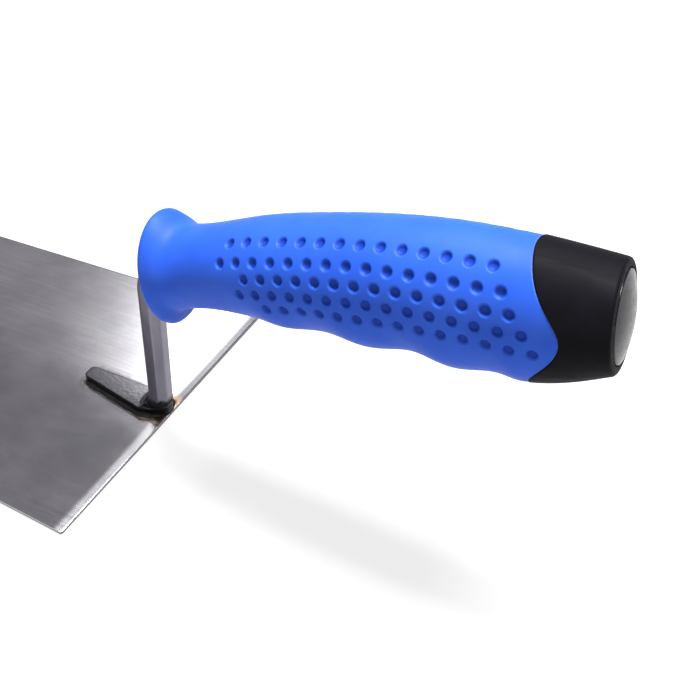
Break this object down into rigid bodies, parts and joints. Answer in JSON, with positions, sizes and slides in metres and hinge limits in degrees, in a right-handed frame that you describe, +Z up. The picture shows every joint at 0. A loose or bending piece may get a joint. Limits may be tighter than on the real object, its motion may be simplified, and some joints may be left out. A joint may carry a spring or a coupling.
{
  "type": "brick trowel",
  "caption": "Masonry trowel with a broad flat steel blade, a cranked upright neck and a flared, dimpled soft-grip handle with a capped butt.",
  "frame": {"origin": "on the blade's underside, where the axis of the upright neck meets it, 4 mm inside the blade's rear edge", "axes": "+X from the blade's front edge towards the handle's butt, +Z up from the blade to the handle, +Y across the blade; the blade lies level in XY"},
  "size_m": [0.3158, 0.1098, 0.1059],
  "materials": {
    "stainless_blade": "brushed, soft reflections, faint marks of use",
    "forged_steel": "ground forging, satin, with faint lengthwise marks",
    "weld_metal": "blackened weld bead with straw heat tint beside it",
    "core_plastic": "moulded, matte",
    "soft_grip": "soft-touch moulded rubber, matte, dimpled",
    "cap_plastic": "moulded, satin, fine grain",
    "plug_plastic": "moulded, semi-gloss",
    "zinc_steel": "zinc plated"
  },
  "bodies": {
    "root": {"blade": "stainless_blade", "neck": "forged_steel", "foot_weld": "weld_metal", "handle_core": "core_plastic", "grip": "soft_grip", "butt_cap": "cap_plastic", "end_plug": "plug_plastic", "tang_washer": "zinc_steel", "tang_nut": "zinc_steel"}
  },
  "joints": []
}
